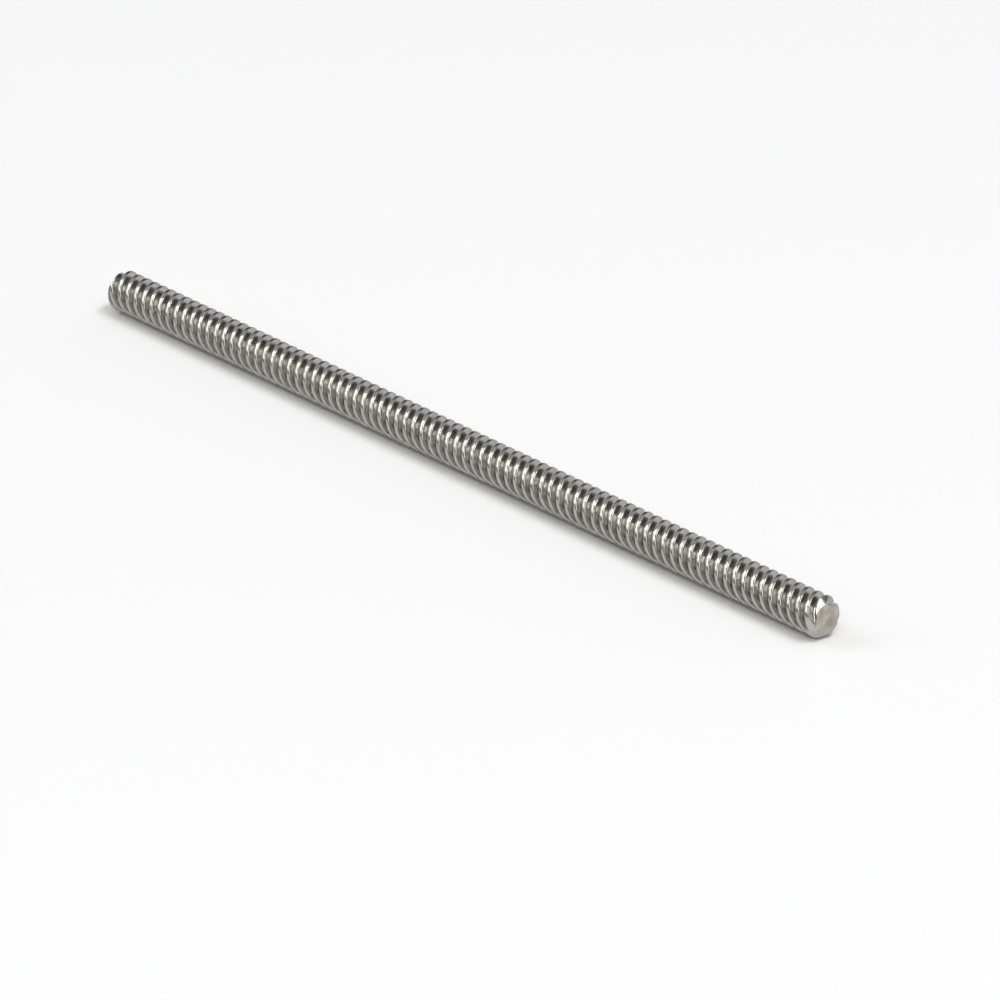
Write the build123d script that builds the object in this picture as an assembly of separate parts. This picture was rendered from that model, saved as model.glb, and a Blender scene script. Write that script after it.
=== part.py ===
from build123d import *
import math
import os

# A trapezoidal lead screw: one turned bar, threaded from end to end with several starts of the
# metric 30 degree trapezoidal form. Millimetres and degrees. The screw's axis is the X axis, the
# origin is the centre of the end face at low X, and the screw runs towards +X.

# Driving dimensions
MAJOR_DIAMETER = 10.0  # over the crests
PITCH = 3.0  # from one crest to the next, along the axis
STARTS = 4  # threads running side by side
LENGTH = 250.0  # over both end faces
FLANK_ANGLE = 15.0  # of each flank, from the plane square to the axis
ROOT_CLEARANCE = 0.25  # groove depth past half the pitch, as the standard gives for 2 to 5 mm
CHAMFER_DEPTH = 1.25  # of the end chamfers, in from the crests
CHAMFER_ANGLE = 40.0  # of the end chamfers, from the axis
CREST_TURN = 20.0  # of the whole thread about the axis

# Derived sizes
lead = PITCH * STARTS
crest_radius = MAJOR_DIAMETER / 2
thread_depth = PITCH / 2 + ROOT_CLEARANCE
root_radius = crest_radius - thread_depth
flank_run = thread_depth * math.tan(math.radians(FLANK_ANGLE))
crest_width = PITCH / 2 * (1 - math.tan(math.radians(FLANK_ANGLE)))
root_width = PITCH - crest_width - 2 * flank_run
end_face_radius = crest_radius - CHAMFER_DEPTH
chamfer_length = CHAMFER_DEPTH / math.tan(math.radians(CHAMFER_ANGLE))

# The thread is made over-long, by half a lead and the ramp of its first or last turn at each end,
# and then cut to length with the chamfers.
whole_turns = math.ceil(LENGTH / lead) + 2
bar_start = -1.5 * lead


def thread_profile():
    """The outline of one lead in the axial plane, as (radius, height) points from crest to crest."""
    points = []
    for start in range(STARTS):
        height = start * PITCH
        points += [
            (crest_radius, height),
            (crest_radius, height + crest_width),
            (root_radius, height + crest_width + flank_run),
            (root_radius, height + crest_width + flank_run + root_width),
        ]
    return points + [(crest_radius, lead)]


def helix(point, first_turn, last_turn):
    """The right-hand helix that a profile point draws between two turns."""
    radius, height = point
    curve = Edge.make_helix(lead, lead * (last_turn - first_turn), radius)
    return curve.moved(Location((0, 0, height + lead * first_turn)))


def helical_face(lower, upper, first_turn, last_turn):
    """The face that the profile's side from lower to upper sweeps: straight in the axial plane."""
    return Face.make_surface_from_curves(
        helix(lower, first_turn, last_turn), helix(upper, first_turn, last_turn)
    )


def side_faces(profile):
    """Crests, flanks and roots. The first and last sides are split where a turn meets the next."""
    sides = list(zip(profile[:-1], profile[1:]))
    faces = [helical_face(*sides[0], 0, 1), helical_face(*sides[0], 1, whole_turns)]
    for side in sides[1:-1]:
        faces.append(helical_face(*side, 0, whole_turns))
    faces.append(helical_face(*sides[-1], 0, whole_turns - 1))
    faces.append(helical_face(*sides[-1], whole_turns - 1, whole_turns))
    return faces


def closing_faces(profile, height):
    """The ramp from the axis to the outer helix, and the step that joins the ramp's two ends."""
    bottom, top = (0, 0, height), (0, 0, height + lead)
    ramp = Face.make_surface_from_curves(
        Edge.make_line(bottom, top), helix((crest_radius, height), 0, 1)
    )
    outline = [bottom] + [(radius, 0, height + rise) for radius, rise in profile] + [top]
    return [ramp, Face(Wire.make_polygon(outline))]


def threaded_bar():
    """The over-long thread along Z, as one closed solid."""
    profile = thread_profile()
    faces = side_faces(profile)
    faces += closing_faces(profile, 0)
    faces += closing_faces(profile, lead * whole_turns)
    return Pos(0, 0, bar_start) * Rot(0, 0, CREST_TURN) * Solid(Shell(faces))


def turned_blank():
    """The bar's true length with its end chamfers, left clear of the crests in between."""
    clear = PITCH / 4
    clear_rise = clear / math.tan(math.radians(CHAMFER_ANGLE))
    outline = Polyline(
        (0, 0, 0),
        (end_face_radius, 0, 0),
        (crest_radius + clear, 0, chamfer_length + clear_rise),
        (crest_radius + clear, 0, LENGTH - chamfer_length - clear_rise),
        (end_face_radius, 0, LENGTH),
        (0, 0, LENGTH),
        (0, 0, 0),
    )
    return revolve(make_face(outline.edges()), axis=Axis.Z)


def lead_screw():
    """The finished screw, laid along X."""
    return Rot(0, 90, 0) * (threaded_bar() & turned_blank())


os.makedirs("parts", exist_ok=True)
export_step(lead_screw(), "parts/lead_screw.step")
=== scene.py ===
import logging
import math
from dataclasses import dataclass
from enum import Enum

import bmesh
import bpy
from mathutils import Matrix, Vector


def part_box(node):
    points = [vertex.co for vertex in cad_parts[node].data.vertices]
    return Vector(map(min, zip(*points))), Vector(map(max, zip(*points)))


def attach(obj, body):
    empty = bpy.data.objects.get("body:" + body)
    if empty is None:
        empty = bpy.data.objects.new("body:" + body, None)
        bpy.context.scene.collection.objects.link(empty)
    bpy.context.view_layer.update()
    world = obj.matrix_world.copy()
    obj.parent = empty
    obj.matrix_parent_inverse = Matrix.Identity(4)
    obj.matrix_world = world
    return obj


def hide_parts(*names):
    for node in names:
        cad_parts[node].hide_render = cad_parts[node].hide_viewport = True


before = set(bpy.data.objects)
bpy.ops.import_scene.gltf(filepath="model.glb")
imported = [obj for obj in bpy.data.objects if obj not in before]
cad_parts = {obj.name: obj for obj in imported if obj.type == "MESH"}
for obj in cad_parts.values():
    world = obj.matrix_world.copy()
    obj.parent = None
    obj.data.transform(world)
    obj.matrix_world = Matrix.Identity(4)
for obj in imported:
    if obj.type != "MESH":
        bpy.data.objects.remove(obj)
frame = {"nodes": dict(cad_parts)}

# A trapezoidal lead screw: one bar of bright steel with a right-hand four-start thread. It lies
# along X on a pale studio floor. Lengths are metres and angles are degrees, unless a name or a
# docstring says otherwise. The bar's two ends and its crest radius are read from the frame.

MM = 0.001
AXIS = Vector((1.0, 0.0, 0.0))
LOG = logging.getLogger("lead_screw")

# How near a face's middle has to be to a surface, and its lean to that surface's, to belong to it
PLACE_SLACK = 0.02 * MM
LEAN_SLACK = 0.02


class Region(Enum):
    """The surfaces of the screw that have a finish of their own, by material slot."""

    THREAD = 0
    CHAMFER = 1
    END_FACE = 2


@dataclass(frozen=True)
class TrapezoidalForm:
    """The metric trapezoidal thread form, with the small radii that rolling leaves.

    Attributes:
        crest_radius: From the axis to the top of a ridge.
        pitch: From one ridge to the next, along the axis.
        starts: Threads that run side by side.
        flank_angle: Of each flank, from the plane square to the axis.
        root_clearance: Groove depth past half the pitch.
        crest_round: How far from a ridge's sharp corner its rounding begins.
        root_round: How far from a groove's sharp corner its rounding begins.
    """

    crest_radius: float
    pitch: float = 3.0 * MM
    starts: int = 4
    flank_angle: float = 15.0
    root_clearance: float = 0.25 * MM
    crest_round: float = 0.20 * MM
    root_round: float = 0.38 * MM

    @property
    def lead(self) -> float:
        """Advance in one whole turn."""
        return self.pitch * self.starts

    @property
    def depth(self) -> float:
        """Height of a ridge above the root."""
        return self.pitch / 2 + self.root_clearance

    @property
    def root_radius(self) -> float:
        """Radius of the groove's floor."""
        return self.crest_radius - self.depth

    @property
    def flank_run(self) -> float:
        """How far along the axis one flank reaches."""
        return self.depth * math.tan(math.radians(self.flank_angle))

    @property
    def crest_width(self) -> float:
        """Flat width of a ridge's top along the axis."""
        return self.pitch / 2 * (1 - math.tan(math.radians(self.flank_angle)))

    @property
    def root_width(self) -> float:
        """Flat width of the groove's floor along the axis."""
        return self.pitch - self.crest_width - 2 * self.flank_run


def noise(
    tree: bpy.types.NodeTree, place: bpy.types.NodeSocket, scale: float, detail: float,
    roughness: float,
) -> bpy.types.NodeSocket:
    """Adds a noise texture.

    Args:
        tree: The nodes that it joins.
        place: The point at which the noise is read.
        scale: How many noise cells fit in one unit of the point.
        detail: How many times finer noise is added.
        roughness: Strength of each finer noise against the one before.

    Returns:
        The noise, between 0 and 1.
    """
    texture = tree.nodes.new("ShaderNodeTexNoise")
    texture.inputs["Scale"].default_value = scale
    texture.inputs["Detail"].default_value = detail
    texture.inputs["Roughness"].default_value = roughness
    tree.links.new(place, texture.inputs["Vector"])
    return texture.outputs["Fac"]


def remap(
    tree: bpy.types.NodeTree, value: bpy.types.NodeSocket, source: tuple[float, float],
    target: tuple[float, float], easing: str = "LINEAR",
) -> bpy.types.NodeSocket:
    """Adds a node that maps one range of values to another and holds both ends.

    Args:
        tree: The nodes that it joins.
        value: The value to map.
        source: Start and end of the range that is read.
        target: What that start and end become.
        easing: How the values between them run.

    Returns:
        The mapped value.
    """
    node = tree.nodes.new("ShaderNodeMapRange")
    node.interpolation_type = easing
    node.inputs["From Min"].default_value, node.inputs["From Max"].default_value = source
    node.inputs["To Min"].default_value, node.inputs["To Max"].default_value = target
    tree.links.new(value, node.inputs["Value"])
    return node.outputs["Result"]


def as_object(name: str, shape: bmesh.types.BMesh) -> bpy.types.Object:
    """Moves a bmesh into an object at the origin.

    Args:
        name: Name of the object and its mesh.
        shape: The bmesh, which is freed.

    Returns:
        The new object, linked to the scene.
    """
    mesh = bpy.data.meshes.new(name)
    shape.to_mesh(mesh)
    shape.free()
    piece = bpy.data.objects.new(name, mesh)
    bpy.context.scene.collection.objects.link(piece)
    return piece


@dataclass(frozen=True)
class Steel:
    """A bare steel finish with fine irregular marks and duller patches.

    Attributes:
        name: Material name.
        colour: Linear colour of the clean metal.
        stain: Linear colour of the duller patches.
        roughness: Lowest and highest roughness.
        mark_scale: Fineness of the marks along X, and round the bar, as noise scales per metre.
        mark_depth: Height of the marks.
        mark_levels: Noise values at which the metal is smoothest and roughest.
        patch_scale: Fineness of the patches, as a noise scale per metre.
        patch_levels: Noise values at which a patch begins and is full.
        edge_tint: Brightness that is left where the metal is seen nearly edge-on.
    """

    name: str
    colour: tuple[float, float, float]
    stain: tuple[float, float, float]
    roughness: tuple[float, float]
    mark_scale: tuple[float, float]
    mark_depth: float
    mark_levels: tuple[float, float] = (0.3, 0.7)
    patch_scale: float = 420.0
    patch_levels: tuple[float, float] = (0.35, 0.7)
    edge_tint: float = 0.6

    def material(self) -> bpy.types.Material:
        """Builds the material.

        Returns:
            The material, patterned on Object coordinates.
        """
        material = bpy.data.materials.new(self.name)
        material.use_nodes = True
        tree = material.node_tree
        shader = tree.nodes["Principled BSDF"]
        shader.inputs["Metallic"].default_value = 1.0
        shader.inputs["Specular Tint"].default_value = (*[self.edge_tint] * 3, 1.0)
        place = tree.nodes.new("ShaderNodeTexCoord").outputs["Object"]
        marks = self.marks(tree, place)
        gloss = remap(tree, marks, self.mark_levels, self.roughness)
        tree.links.new(gloss, shader.inputs["Roughness"])
        tree.links.new(self.tinted(tree, place), shader.inputs["Base Color"])
        tree.links.new(self.raised(tree, marks), shader.inputs["Normal"])
        return material

    def marks(
        self, tree: bpy.types.NodeTree, place: bpy.types.NodeSocket
    ) -> bpy.types.NodeSocket:
        """Adds the noise that the fine marks follow.

        Args:
            tree: The material's nodes.
            place: The point on the screw.

        Returns:
            The height of the marks, between 0 and 1.
        """
        along, around = self.mark_scale
        stretch = tree.nodes.new("ShaderNodeMapping")
        stretch.inputs["Scale"].default_value = (along, around, around)
        tree.links.new(place, stretch.inputs["Vector"])
        return noise(tree, stretch.outputs["Vector"], scale=1.0, detail=4.0, roughness=0.6)

    def tinted(
        self, tree: bpy.types.NodeTree, place: bpy.types.NodeSocket
    ) -> bpy.types.NodeSocket:
        """Mixes the clean metal's colour with that of the duller patches.

        Args:
            tree: The material's nodes.
            place: The point on the screw.

        Returns:
            The metal's colour.
        """
        patches = noise(tree, place, scale=self.patch_scale, detail=3.0, roughness=0.5)
        share = remap(tree, patches, self.patch_levels, (0.0, 1.0))
        tint = tree.nodes.new("ShaderNodeMix")
        tint.data_type = "RGBA"
        tint.inputs["A"].default_value = (*self.colour, 1.0)
        tint.inputs["B"].default_value = (*self.stain, 1.0)
        tree.links.new(share, tint.inputs["Factor"])
        return tint.outputs["Result"]

    def raised(
        self, tree: bpy.types.NodeTree, marks: bpy.types.NodeSocket
    ) -> bpy.types.NodeSocket:
        """Gives the marks their height.

        Args:
            tree: The material's nodes.
            marks: The height of the marks, between 0 and 1.

        Returns:
            The tilted surface direction.
        """
        bump = tree.nodes.new("ShaderNodeBump")
        bump.inputs["Strength"].default_value = 1.0
        bump.inputs["Distance"].default_value = self.mark_depth
        tree.links.new(marks, bump.inputs["Height"])
        return bump.outputs["Normal"]


@dataclass
class LeadScrew:
    """The screw: a multi-start thread wound along the bar and trimmed by a turned blank.

    Attributes:
        low_x: Where the bar begins on the axis.
        high_x: Where it ends.
        form: The thread's form.
        finishes: The steel of each region.
        steps_per_turn: Flat steps in one turn of the thread.
        round_segments: Flat steps in each rounded corner.
        chamfer_depth: How far the end chamfers cut in from the crests.
        chamfer_angle: Of the end chamfers, from the axis.
        crest_turn: Turn of the whole thread about the axis.
        smooth_limit: Sharpest edge that is shaded as a smooth one.
        weld_gap: Points nearer than this become one.
    """

    low_x: float
    high_x: float
    form: TrapezoidalForm
    finishes: dict[Region, Steel]
    steps_per_turn: int = 54
    round_segments: int = 4
    chamfer_depth: float = 1.25 * MM
    chamfer_angle: float = 40.0
    crest_turn: float = 20.0
    smooth_limit: float = 35.0
    weld_gap: float = 0.002 * MM

    @property
    def end_face_radius(self) -> float:
        """Radius of the flat on each end."""
        return self.form.crest_radius - self.chamfer_depth

    def profile(self) -> bmesh.types.BMesh:
        """Draws one lead of the thread's outline in the half plane below the axis.

        Returns:
            A chain of edges from mid-crest to mid-crest, with its corners rounded.
        """
        form = self.form
        mid_crest = form.crest_width / 2
        outline = bmesh.new()
        chain = [outline.verts.new((mid_crest, 0, -form.crest_radius))]
        crests, roots = [], []
        for start in range(form.starts):
            crest_end = start * form.pitch + form.crest_width
            root_start = crest_end + form.flank_run
            root_end = root_start + form.root_width
            next_crest = (start + 1) * form.pitch
            crest_corner = outline.verts.new((crest_end, 0, -form.crest_radius))
            floor_corners = [
                outline.verts.new((root_start, 0, -form.root_radius)),
                outline.verts.new((root_end, 0, -form.root_radius)),
            ]
            next_corner = outline.verts.new((next_crest, 0, -form.crest_radius))
            chain += [crest_corner, *floor_corners, next_corner]
            crests += [crest_corner, next_corner]
            roots += floor_corners
        chain.append(outline.verts.new((form.lead + mid_crest, 0, -form.crest_radius)))
        self.join(outline, chain)
        self.round_corners(outline, crests, form.crest_round)
        self.round_corners(outline, roots, form.root_round)
        return outline

    def join(self, outline: bmesh.types.BMesh, chain: list[bmesh.types.BMVert]) -> None:
        """Draws an edge from each point of a chain to the next."""
        for here, there in zip(chain[:-1], chain[1:]):
            outline.edges.new((here, there))

    def round_corners(
        self, outline: bmesh.types.BMesh, corners: list[bmesh.types.BMVert], offset: float
    ) -> None:
        """Rounds corners of an outline in its own plane.

        Args:
            outline: The chain of edges.
            corners: The points to round.
            offset: How far from each corner the rounding begins.
        """
        bmesh.ops.bevel(
            outline, geom=corners, offset=offset, offset_type="OFFSET", affect="VERTICES",
            segments=self.round_segments, profile=0.5, material=-1,
        )

    def wind(self) -> bpy.types.Object:
        """Winds the outline along the bar, past both ends, and closes it.

        Returns:
            The over-long threaded bar as a closed object.
        """
        form = self.form
        bar = self.profile()
        margin = form.lead / 2
        first = self.low_x - form.lead - margin
        turns = math.ceil((self.high_x + form.lead - first) / form.lead)
        bmesh.ops.spin(
            bar, geom=bar.verts[:] + bar.edges[:], cent=(0, 0, 0), axis=AXIS,
            dvec=AXIS * (form.lead / self.steps_per_turn), angle=math.tau,
            steps=self.steps_per_turn, use_merge=False, use_duplicate=False,
        )
        one_turn = bar.verts[:] + bar.edges[:] + bar.faces[:]
        for turn in range(1, turns):
            copied = bmesh.ops.duplicate(bar, geom=one_turn)["geom"]
            verts = [item for item in copied if isinstance(item, bmesh.types.BMVert)]
            bmesh.ops.translate(bar, verts=verts, vec=AXIS * (form.lead * turn))
        drawn_back = form.lead * self.crest_turn / 360
        bmesh.ops.translate(bar, verts=bar.verts[:], vec=AXIS * (first - drawn_back))
        bmesh.ops.remove_doubles(bar, verts=bar.verts[:], dist=self.weld_gap)
        for x, side in ((self.low_x - margin / 2, -1), (self.high_x + margin / 2, 1)):
            self.cap(bar, x, side)
        bmesh.ops.recalc_face_normals(bar, faces=bar.faces[:])
        return as_object("threaded_bar", bar)

    def cap(self, bar: bmesh.types.BMesh, x: float, side: int) -> None:
        """Cuts the bar square at x and closes the cut.

        Args:
            bar: The wound thread.
            x: Where to cut.
            side: 1 to remove what lies beyond x, -1 to remove what lies before it.
        """
        cut = bmesh.ops.bisect_plane(
            bar, geom=bar.verts[:] + bar.edges[:] + bar.faces[:], plane_co=AXIS * x,
            plane_no=AXIS * side, clear_outer=True,
        )
        rim = [edge for edge in cut["geom_cut"] if isinstance(edge, bmesh.types.BMEdge)]
        lid = bmesh.ops.contextual_create(bar, geom=rim)
        bmesh.ops.poke(bar, faces=lid["faces"])

    def blank(self) -> bpy.types.Object:
        """Turns the blank: the true length, with chamfers, clear of the crests in between.

        Returns:
            The blank as a closed object.
        """
        clear = self.form.pitch / 4
        blank_radius = self.form.crest_radius + clear
        run = (blank_radius - self.end_face_radius) / math.tan(math.radians(self.chamfer_angle))
        outline = bmesh.new()
        corners = [
            outline.verts.new((self.low_x, 0, 0)),
            outline.verts.new((self.low_x, 0, self.end_face_radius)),
            outline.verts.new((self.low_x + run, 0, blank_radius)),
            outline.verts.new((self.high_x - run, 0, blank_radius)),
            outline.verts.new((self.high_x, 0, self.end_face_radius)),
            outline.verts.new((self.high_x, 0, 0)),
        ]
        self.join(outline, corners)
        bmesh.ops.spin(
            outline, geom=outline.verts[:] + outline.edges[:], cent=(0, 0, 0), axis=AXIS,
            angle=math.tau, steps=2 * self.steps_per_turn, use_merge=True, use_duplicate=False,
        )
        bmesh.ops.remove_doubles(outline, verts=outline.verts[:], dist=self.weld_gap)
        bmesh.ops.recalc_face_normals(outline, faces=outline.faces[:])
        return as_object("turned_blank", outline)

    def trim(self, bar: bpy.types.Object, blank: bpy.types.Object) -> None:
        """Keeps what the bar and the blank share.

        Args:
            bar: The over-long threaded bar, which is trimmed.
            blank: The turned blank, which is removed.
        """
        cut = bar.modifiers.new("trim", "BOOLEAN")
        cut.operation = "INTERSECT"
        cut.solver = "MANIFOLD"
        cut.object = blank
        graph = bpy.context.evaluated_depsgraph_get()
        trimmed = bpy.data.meshes.new_from_object(bar.evaluated_get(graph))
        bar.modifiers.clear()
        bar.data = trimmed
        bpy.data.objects.remove(blank)

    def region_of(self, face: bpy.types.MeshPolygon) -> Region:
        """Tells a face's surface by its place and by its lean along the axis.

        Args:
            face: A face of the trimmed screw.

        Returns:
            The surface that the face belongs to.
        """
        from_end = min(face.center.x - self.low_x, self.high_x - face.center.x)
        lean = abs(face.normal.x)
        if from_end < PLACE_SLACK and 1 - lean < LEAN_SLACK:
            return Region.END_FACE
        chamfer = math.radians(self.chamfer_angle)
        radius = math.hypot(face.center.y, face.center.z)
        off_cone = abs(radius - self.end_face_radius - from_end * math.tan(chamfer))
        if off_cone < PLACE_SLACK and abs(lean - math.sin(chamfer)) < LEAN_SLACK:
            return Region.CHAMFER
        return Region.THREAD

    def dress(self, screw: bpy.types.Object) -> None:
        """Gives each surface its finish and keeps the flats flat under smooth shading.

        Args:
            screw: The trimmed screw.
        """
        mesh = screw.data
        mesh.materials.clear()
        for region in Region:
            mesh.materials.append(self.finishes[region].material())
        for face in mesh.polygons:
            face.material_index = self.region_of(face).value
            face.use_smooth = True
        mesh.set_sharp_from_angle(angle=math.radians(self.smooth_limit))
        weigh = screw.modifiers.new("flat_faces", "WEIGHTED_NORMAL")
        weigh.keep_sharp = True

    def build(self) -> bpy.types.Object:
        """Makes the finished screw.

        Returns:
            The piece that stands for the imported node.
        """
        screw = self.wind()
        self.trim(screw, self.blank())
        screw.name = screw.data.name = "rolled_screw"
        self.dress(screw)
        return screw


@dataclass(frozen=True)
class Softbox:
    """A rectangular lamp aimed at the middle of the screw.

    Attributes:
        name: Lamp name.
        towards: Direction from the screw to the lamp.
        distance: Distance from the screw.
        size: Width and height.
        strength: Brightness of the lamp's face, where 1 is as bright as white.
    """

    name: str
    towards: tuple[float, float, float]
    distance: float
    size: tuple[float, float]
    strength: float

    def place(self, target: Vector) -> bpy.types.Object:
        """Adds the lamp.

        Args:
            target: The point that it faces.

        Returns:
            The lamp object.
        """
        lamp = bpy.data.lights.new(self.name, "AREA")
        lamp.shape = "RECTANGLE"
        lamp.size, lamp.size_y = self.size
        lamp.energy = self.strength * math.pi * self.size[0] * self.size[1]
        holder = bpy.data.objects.new(self.name, lamp)
        direction = Vector(self.towards).normalized()
        holder.location = target + direction * self.distance
        holder.rotation_euler = direction.to_track_quat("Z", "Y").to_euler()
        bpy.context.scene.collection.objects.link(holder)
        return holder


@dataclass(frozen=True)
class DarkCorner:
    """A dark round patch of the room, which the steel mirrors.

    Attributes:
        towards: Direction from the screw to the patch's middle.
        rim: Angle from that direction at which the patch begins.
        core: Angle within which it is darkest.
        level: Share of the room's light that is left there.
    """

    towards: tuple[float, float, float]
    rim: float
    core: float
    level: float = 0.10

    def shade(
        self, tree: bpy.types.NodeTree, direction: bpy.types.NodeSocket
    ) -> bpy.types.NodeSocket:
        """Adds the patch to the room.

        Args:
            tree: The room's nodes.
            direction: The direction in which the room is seen.

        Returns:
            The share of the light that is left in that direction.
        """
        facing = tree.nodes.new("ShaderNodeVectorMath")
        facing.operation = "DOT_PRODUCT"
        facing.inputs[1].default_value = Vector(self.towards).normalized()
        tree.links.new(direction, facing.inputs[0])
        rim_to_core = (math.cos(math.radians(self.rim)), math.cos(math.radians(self.core)))
        return remap(
            tree, facing.outputs["Value"], rim_to_core, (1.0, self.level), easing="SMOOTHSTEP"
        )


@dataclass(frozen=True)
class Viewpoint:
    """Where the camera stands and what it aims at.

    Attributes:
        azimuth: Bearing of the camera, from -Y round towards +X.
        elevation: Height of the camera above the level of its aim.
        distance: From the camera to its aim.
        aim_along: How far the aim lies from the middle of the screw, along X.
        aim_up: How far it lies above the middle.
        lens: Focal length, in millimetres.
        sensor_width: Width of the picture on the sensor, in millimetres.
        reach: Farthest distance that is seen.
    """

    azimuth: float = 49.397
    elevation: float = 23.843
    distance: float = 2.3593
    aim_along: float = 0.01384
    aim_up: float = -0.00847
    lens: float = 370.78
    sensor_width: float = 36.0
    reach: float = 50.0

    def place(self, centre: Vector) -> bpy.types.Object:
        """Adds the camera.

        Args:
            centre: The middle of the screw.

        Returns:
            The camera object, which is made the scene's camera.
        """
        turn, rise = math.radians(self.azimuth), math.radians(self.elevation)
        back = Vector(
            (math.cos(rise) * math.sin(turn), -math.cos(rise) * math.cos(turn), math.sin(rise))
        )
        aim = centre + Vector((self.aim_along, 0, self.aim_up))
        camera = bpy.data.cameras.new("studio_camera")
        camera.lens = self.lens
        camera.sensor_width = self.sensor_width
        camera.clip_end = self.reach
        holder = bpy.data.objects.new("studio_camera", camera)
        holder.location = aim + back * self.distance
        holder.rotation_euler = back.to_track_quat("Z", "Y").to_euler()
        bpy.context.scene.collection.objects.link(holder)
        bpy.context.scene.camera = holder
        return holder


@dataclass
class Studio:
    """The floor, the lamps, the room around them and the camera.

    Attributes:
        centre: The middle of the screw.
        floor_z: Height of the floor.
        floor_half: Half the floor's width.
        floor_colour: Linear colour of the floor.
        boxes: The lamps.
        room_levels: Brightness of the room in front of the screw and behind it.
        room_span: How far towards +Y those two levels are reached, as the Y of a direction.
        dark_corners: The room's dark patches.
        viewpoint: The camera's place.
    """

    centre: Vector
    floor_z: float
    floor_half: float = 6.0
    floor_colour: tuple[float, float, float] = (0.96, 0.96, 0.96)
    boxes: tuple[Softbox, ...] = (
        Softbox("key_box", (-0.70, -0.28, 0.66), 4.0, (1.45, 1.45), 2.8),
        Softbox("fill_box", (-0.69, -0.60, 0.41), 4.0, (1.50, 1.50), 2.3),
        Softbox("top_box", (0.385, 0.11, 0.916), 4.0, (2.40, 0.80), 11.0),
        Softbox("front_box", (0.58, -0.52, 0.63), 4.5, (2.25, 2.40), 3.1),
    )
    room_levels: tuple[float, float] = (0.21, 0.76)
    room_span: tuple[float, float] = (-0.5, 0.6)
    dark_corners: tuple[DarkCorner, ...] = (
        DarkCorner((0.32, 0.62, 0.71), rim=28.0, core=16.0),
        DarkCorner((-0.77, 0.54, 0.34), rim=20.0, core=11.0),
    )
    viewpoint: Viewpoint = Viewpoint()

    def build_floor(self) -> bpy.types.Object:
        """Lays the pale floor under the screw.

        Returns:
            The floor object.
        """
        sheet = bmesh.new()
        bmesh.ops.create_grid(sheet, x_segments=1, y_segments=1, size=self.floor_half)
        bmesh.ops.translate(
            sheet, verts=sheet.verts[:], vec=(self.centre.x, self.centre.y, self.floor_z)
        )
        floor = as_object("studio_floor", sheet)
        floor.data.materials.append(self.floor_card())
        return floor

    def floor_card(self) -> bpy.types.Material:
        """Builds the floor's pale matt card.

        Returns:
            The material.
        """
        material = bpy.data.materials.new("floor_card")
        material.use_nodes = True
        shader = material.node_tree.nodes["Principled BSDF"]
        shader.inputs["Base Color"].default_value = (*self.floor_colour, 1.0)
        shader.inputs["Roughness"].default_value = 0.9
        shader.inputs["Specular IOR Level"].default_value = 0.1
        return material

    def build_room(self) -> None:
        """Fills the room with soft grey, paler to the back, with its dark corners."""
        world = bpy.data.worlds.new("room")
        bpy.context.scene.world = world
        world.use_nodes = True
        tree = world.node_tree
        direction = tree.nodes.new("ShaderNodeTexCoord").outputs["Generated"]
        split = tree.nodes.new("ShaderNodeSeparateXYZ")
        tree.links.new(direction, split.inputs["Vector"])
        level = remap(tree, split.outputs["Y"], self.room_span, self.room_levels)
        for corner in self.dark_corners:
            product = tree.nodes.new("ShaderNodeMath")
            product.operation = "MULTIPLY"
            tree.links.new(level, product.inputs[0])
            tree.links.new(corner.shade(tree, direction), product.inputs[1])
            level = product.outputs["Value"]
        background = tree.nodes["Background"]
        background.inputs["Color"].default_value = (1.0, 1.0, 1.0, 1.0)
        tree.links.new(level, background.inputs["Strength"])

    def build(self) -> bpy.types.Object:
        """Builds the whole studio.

        Returns:
            The floor, which is not part of the object.
        """
        floor = self.build_floor()
        self.build_room()
        for box in self.boxes:
            box.place(self.centre)
        self.viewpoint.place(self.centre)
        bpy.context.scene.view_settings.view_transform = "Standard"
        return floor


FINISHES = {
    Region.THREAD: Steel(
        name="rolled_steel",
        colour=(0.50, 0.495, 0.465),
        stain=(0.40, 0.395, 0.365),
        roughness=(0.15, 0.28),
        mark_scale=(900.0, 900.0),
        mark_depth=0.004 * MM,
    ),
    Region.CHAMFER: Steel(
        name="turned_steel",
        colour=(0.50, 0.495, 0.47),
        stain=(0.42, 0.415, 0.39),
        roughness=(0.20, 0.32),
        mark_scale=(6000.0, 700.0),
        mark_depth=0.004 * MM,
    ),
    Region.END_FACE: Steel(
        name="sawn_steel",
        colour=(0.57, 0.54, 0.48),
        stain=(0.37, 0.34, 0.29),
        roughness=(0.42, 0.60),
        mark_scale=(900.0, 900.0),
        mark_depth=0.02 * MM,
    ),
}


def main() -> None:
    """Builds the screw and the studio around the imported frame."""
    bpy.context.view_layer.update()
    logging.basicConfig(level=logging.INFO)
    LOG.info("packed nodes: %s", ", ".join(frame["nodes"]))
    low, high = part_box("lead_screw")
    form = TrapezoidalForm(crest_radius=(high[2] - low[2]) / 2)
    screw = LeadScrew(low[0], high[0], form, FINISHES).build()
    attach(screw, "root")
    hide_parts("lead_screw")
    LOG.info("%s: %d faces", screw.name, len(screw.data.polygons))
    centre = Vector(((low[0] + high[0]) / 2, 0.0, 0.0))
    floor = Studio(centre, floor_z=low[2]).build()
    LOG.info("%s: laid at z = %.4f m", floor.name, low[2])


if __name__ == "__main__":
    main()
